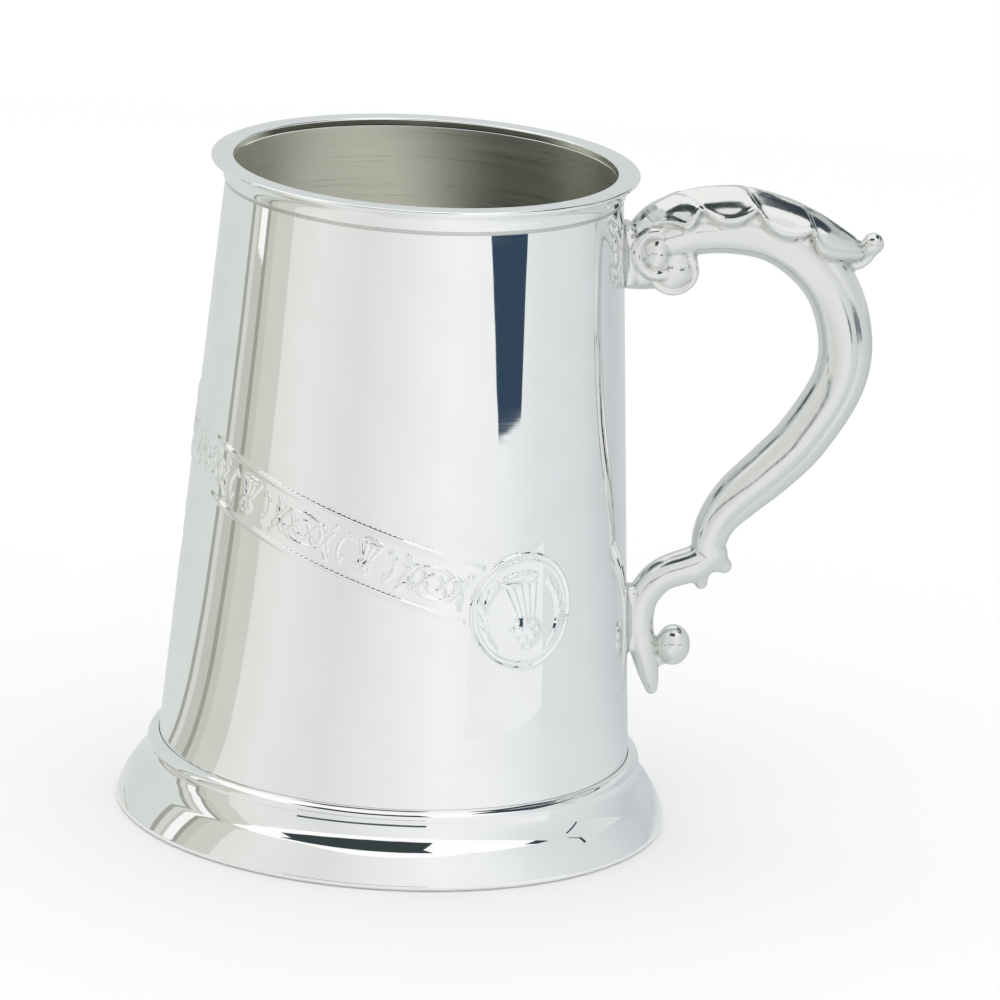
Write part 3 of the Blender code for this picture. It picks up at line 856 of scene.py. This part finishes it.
def cast_handle(material):
    """The whole casting: its rods, leaf, balls and pads are melted together and smoothed."""
    work = bmesh.new()
    rod(work, ARM, 10, 48, arm_section)
    rod(work, SCROLL, 8, 32)
    rod(work, TOE, 5)
    rod(work, CURL_STEM, 5)
    rod(work, VOLUTE_NECK, 5)
    leaf_core(work)
    leaf_shell(work)
    ball(work, VOLUTE, (1.0, 0.92, 1.0))
    for side in (-1, 1):
        ball(work, (6.0, 73.9, 2.7), (0.85, 0.7, 1.15), side * 3.9)
        ball(work, (13.5, 10.9, 2.3), (1.0, 0.6, 1.0), side * 1.9)
        coil = [(*place, 0.9) for place in arc((6.2, 74.0), (4.0, 4.3), 80, 290, 6)]
        rod(work, coil, 4, 12, side=side * 4.3)
        coil = [(*place, 0.85) for place in arc((9.1, 70.9), (4.4, 4.4), 200, 400, 6)]
        rod(work, coil, 4, 12, side=side * 3.3)
    rod(work, [(39.5, 76.6, 2.4), (43.6, 74.9, 2.1), (47.0, 75.4, 1.6)], 6)
    rod(work, [(42.3, 73.2, 0.9), (45.2, 72.3, 1.1), (47.3, 73.7, 1.1), (48.3, 75.5, 1.3)], 6)
    ball(work, LEAF_BEAD)
    ball(work, CURL_BEAD, (1.0, 1.0, 1.2))
    pad(work, UPPER_JOINT, *UPPER_PAD, PAD_PROUD)
    pad(work, LOWER_JOINT, *LOWER_PAD, PAD_PROUD)
    bmesh.ops.recalc_face_normals(work, faces=work.faces)
    mesh = bpy.data.meshes.new("handle_shells")
    work.to_mesh(mesh)
    work.free()
    rough = bpy.data.objects.new("handle_shells", mesh)
    bpy.context.scene.collection.objects.link(rough)
    melt = rough.modifiers.new("melt_together", "REMESH")
    melt.mode = "VOXEL"
    melt.voxel_size = HANDLE_VOXEL
    bpy.context.view_layer.update()
    seen = rough.evaluated_get(bpy.context.evaluated_depsgraph_get())
    work = bmesh.new()
    work.from_mesh(seen.to_mesh())
    seen.to_mesh_clear()
    bpy.data.objects.remove(rough)
    for _ in range(MELT_SMOOTHINGS):
        bmesh.ops.smooth_vert(
            work, verts=work.verts, factor=0.5, use_axis_x=True, use_axis_y=True, use_axis_z=True
        )
    # The casting is fitted to the drum: nothing of it goes inside the wall
    for vert in work.verts:
        wall = body_r(vert.co.z) + 0.25 * MM
        reach = vert.co.xy.length
        if reach < wall:
            flat = vert.co.xy.normalized() * wall
            vert.co = (flat.x, flat.y, vert.co.z)
    return finish_piece("cast_handle", work, [material], ["handle"], 180)


def joint_fillet(name, node, width, height, material):
    """The solder run in around one pad of the handle, hollow between the drum and the pad."""
    low, high = (Vector(corner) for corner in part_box(node))
    centre = (low + high) / 2
    work = bmesh.new()
    rings = []
    for grown, off in ((0.9, -0.1), (0.75, 0.08), (0.35, 0.3), (0.1, 0.7), (0.0, 1.1), (-0.6, 1.2)):
        places = []
        for i in range(64):
            angle = math.tau * i / 64
            cos, sin = math.cos(angle), math.sin(angle)
            y = math.copysign(abs(cos) ** 0.5, cos) * (width / 2 + grown * MM)
            z = centre.z + math.copysign(abs(sin) ** 0.5, sin) * (height / 2 + grown * MM)
            radius = body_r(z) + off * MM
            turn = y / radius
            places.append(Vector((radius * math.cos(turn), radius * math.sin(turn), z)))
        rings.append(places)
    skin(work, rings)
    bmesh.ops.recalc_face_normals(work, faces=work.faces)
    return finish_piece(name, work, [material], [node], 60)


# ---------------------------------------------------------------- studio


def glow(name, colour, strength=1.0):
    material = bpy.data.materials.new(name)
    material.use_nodes = True
    tree = material.node_tree
    tree.nodes.remove(tree.nodes["Principled BSDF"])
    light = add(tree, "ShaderNodeEmission", {}, {"Color": tone(colour), "Strength": strength})
    tree.links.new(light.outputs[0], tree.nodes["Material Output"].inputs["Surface"])
    return material


def card(name, corners, colour):
    """A flat card that is seen only in the metal's reflections."""
    work = bmesh.new()
    made = bmesh.ops.create_grid(work, x_segments=1, y_segments=1, size=0.5)["verts"]
    order = sorted(made, key=lambda v: (v.co.y, v.co.x))
    for vert, place in zip(order, corners):
        vert.co = place
    mesh = bpy.data.meshes.new(name)
    work.to_mesh(mesh)
    work.free()
    item = bpy.data.objects.new(name, mesh)
    bpy.context.scene.collection.objects.link(item)
    mesh.materials.append(glow(name + "_glow", colour))
    item.visible_camera = False
    item.visible_diffuse = False
    item.visible_shadow = False
    item.visible_transmission = False
    return item


def standing(name, start, end, distance, low, high, colour, foot=None):
    """A card standing around the tankard from one azimuth to another, maybe with others at its foot."""
    def spot(azimuth, z):
        turn = math.radians(azimuth)
        return Vector((distance * math.cos(turn), distance * math.sin(turn), z))
    foot_start, foot_end = foot or (start, end)
    corners = [spot(foot_start, low), spot(foot_end, low), spot(start, high), spot(end, high)]
    return card(name, corners, colour)


def lying(name, start, end, near, far, colour):
    """A card lying on the table, reaching out from the tankard between two azimuths."""
    def spot(azimuth, distance):
        turn = math.radians(azimuth)
        return Vector((distance * math.cos(turn), distance * math.sin(turn), 0.2 * MM))
    return card(name, [spot(start, near), spot(end, near), spot(start, far), spot(end, far)], colour)


def light_tent():
    """White fabric walls around the tankard, a little greyer at its sides, seen only in reflections."""
    work = bmesh.new()
    foot = bmesh.ops.create_circle(work, segments=96, radius=620 * MM, cap_ends=False)["verts"]
    rim = list({edge for vert in foot for edge in vert.link_edges})
    walls = bmesh.ops.extrude_edge_only(work, edges=rim)["geom"]
    bmesh.ops.translate(
        work, verts=[v for v in walls if isinstance(v, bmesh.types.BMVert)], vec=(0, 0, 600 * MM)
    )
    ground = bmesh.ops.extrude_edge_only(work, edges=rim)["geom"]
    near = [v for v in ground if isinstance(v, bmesh.types.BMVert)]
    bmesh.ops.scale(work, verts=near, vec=(0.09, 0.09, 1.0))
    bmesh.ops.translate(work, verts=near + foot, vec=(0, 0, 0.1 * MM))
    mesh = bpy.data.meshes.new("light_tent")
    work.to_mesh(mesh)
    work.free()
    tent = bpy.data.objects.new("light_tent", mesh)
    bpy.context.scene.collection.objects.link(tent)
    material = glow("tent_cloth", "#ffffff")
    tree = material.node_tree
    place = add(tree, "ShaderNodeTexCoord").outputs["Object"]
    parts = add(tree, "ShaderNodeSeparateXYZ", links={0: place})
    angle = add(
        tree, "ShaderNodeMath", {"operation": "ARCTAN2"}, links={0: parts.outputs[1], 1: parts.outputs[0]}
    )
    turn = add(
        tree, "ShaderNodeMapRange", {},
        {"From Min": -math.pi, "From Max": math.pi, "To Min": 0.0, "To Max": 1.0},
        {"Value": angle.outputs[0]},
    )
    ramp = add(tree, "ShaderNodeValToRGB", links={0: turn.outputs[0]})
    stops = [
        (-180, "#e2e4df"), (-152, "#eceeeb"), (-125, "#e4e6e4"), (-100, "#eff1f0"), (-75, "#fbfcfc"),
        (-50, "#f6f7f8"), (-25, "#e4e8ea"), (5, "#dde1e3"), (35, "#c9ced1"), (80, "#d6dadb"),
        (130, "#d9dddd"), (180, "#e2e4df"),
    ]
    bands = ramp.color_ramp.elements
    for (azimuth, colour), index in zip(stops, range(len(stops))):
        place_on = (azimuth + 180) / 360
        stop = bands[index] if index < 2 else bands.new(place_on)
        stop.position = place_on
        stop.color = tone(colour)
    lamp = next(node for node in tree.nodes if node.bl_idname == "ShaderNodeEmission")
    tree.links.new(ramp.outputs[0], lamp.inputs["Color"])
    mesh.materials.append(material)
    tent.visible_camera = False
    tent.visible_diffuse = False
    tent.visible_shadow = False
    tent.visible_transmission = False


def mouth_lamp():
    """A narrow lamp that shines over the front of the lip onto the far wall inside."""
    lamp = bpy.data.lights.new("mouth_lamp", "SPOT")
    lamp.energy = 190.0
    lamp.spot_size = math.radians(3.4)
    lamp.spot_blend = 1.0
    lamp.shadow_soft_size = 20 * MM
    beam = bpy.data.objects.new("mouth_lamp", lamp)
    bpy.context.scene.collection.objects.link(beam)
    start = Vector((20, -300, 420)) * MM
    aim = Vector((-11, 33, 112)) * MM
    turn = (aim - start).to_track_quat("-Z", "Y")
    beam.matrix_world = Matrix.Translation(start) @ turn.to_matrix().to_4x4()
    beam.visible_glossy = False


def studio():
    """A white room with a pale floor, a lamp into the mouth, and what the polished metal reflects."""
    world = bpy.data.worlds.new("white_room")
    bpy.context.scene.world = world
    world.use_nodes = True
    background = world.node_tree.nodes["Background"]
    background.inputs["Color"].default_value = (1.0, 1.0, 1.0, 1.0)
    background.inputs["Strength"].default_value = 1.08
    work = bmesh.new()
    bmesh.ops.create_circle(work, segments=96, radius=4.0, cap_ends=True)
    mesh = bpy.data.meshes.new("pale_floor")
    work.to_mesh(mesh)
    work.free()
    floor = bpy.data.objects.new("pale_floor", mesh)
    bpy.context.scene.collection.objects.link(floor)
    white, _, shader = metal("white_paper", "#f7f7f7", 0.9)
    shader.inputs["Metallic"].default_value = 0.0
    mesh.materials.append(white)
    light_tent()
    mouth_lamp()
    # Window frame, sills, valance and bench: azimuths, parts, distance, foot and top in mm, colour
    for name, start, end, parts, distance, low, high, colour in (
        ("white_sill", -64, -26, 1, 200, 0, 36, "#f4f6f6"),
        ("dark_valance", -155, -71, 5, 450, 520, 1120, "#3a4446"),
        ("bench_gap", -136, -78.8, 4, 600, 76, 112, "#4a5458"),
        ("side_gap", 0, 51, 3, 600, 270, 440, "#3e4a50"),
        ("side_sill", -4, 55, 3, 250, 98, 175, "#dfe3e4"),
        ("bright_slit", 163, 168.5, 1, 600, 24, 600, "#ffffff"),
    ):
        step = (end - start) / parts
        for index in range(parts):
            left = start + index * step
            standing(f"{name}_{index}", left, left + step, distance * MM, low * MM, high * MM, colour)
    standing("navy_gap", -57, -34, 590 * MM, 9 * MM, 68 * MM, "#35485b", (-49.1, -36.3))
    for index, (start, end, colour) in enumerate((
        (154, 157, "#a8aaa3"), (157, 161, "#d9dbd6"), (161, 168, "#c6c8bf"), (168, 171, "#a2a49b"),
        (171, 176, "#c9cbc1"), (176, 189, "#d3d5cc"),
    )):
        standing(f"stand_{index}", start, end, 605 * MM, 0.0, 600 * MM, colour)
        lying(f"stand_foot_{index}", start, end, 75 * MM, 605 * MM, colour)
    overhead = 700 * MM
    card(
        "dark_ceiling",
        [Vector((0.28, -0.15, overhead)), Vector((0.95, -0.15, overhead)),
         Vector((0.28, 0.5, overhead)), Vector((0.95, 0.5, overhead))],
        "#3b4650",
    )


def camera():
    """The camera looks a little down at the tankard from in front, turned slightly about its own axis."""
    heading = math.radians(5.75)
    pitch = math.radians(-15.665)
    roll = math.radians(3.44)
    ahead = Vector((
        math.sin(heading) * math.cos(pitch), math.cos(heading) * math.cos(pitch), math.sin(pitch)
    ))
    right = ahead.cross(Vector((0, 0, 1))).normalized()
    up = right.cross(ahead)
    side = math.cos(roll) * right + math.sin(roll) * up
    top = -math.sin(roll) * right + math.cos(roll) * up
    view = bpy.data.objects.new("camera", bpy.data.cameras.new("camera"))
    bpy.context.scene.collection.objects.link(view)
    view.data.sensor_width = 36.0
    view.data.lens = 264.3
    view.data.clip_end = 20.0
    place = Matrix((side, top, -ahead)).transposed().to_4x4()
    place.translation = Vector((-119.2, -1362.9, 446.5)) * MM
    view.matrix_world = place
    bpy.context.scene.camera = view


def main():
    bright = buffed_pewter()
    inside = turned_satin("turned_pewter_inside", "#8f9084", "#a6a79b", "up")
    under = turned_satin("turned_pewter_underside", "#8d8e86", "#b9bab4", "out")
    cast = cast_pewter()
    solder = tin_solder()
    polished_drum(bright, inside)
    lip_moulding(bright)
    lip_fillet(solder)
    foot_moulding(bright, under)
    foot_fillet(solder)
    base_disc(under, under)
    base_fillet(solder)
    cast_handle(cast)
    joint_fillet("upper_joint_fillet", "upper_handle_solder", *UPPER_PAD, solder)
    joint_fillet("lower_joint_fillet", "lower_handle_solder", *LOWER_PAD, solder)
    studio()
    camera()
    bpy.context.scene.view_settings.view_transform = "Standard"


main()
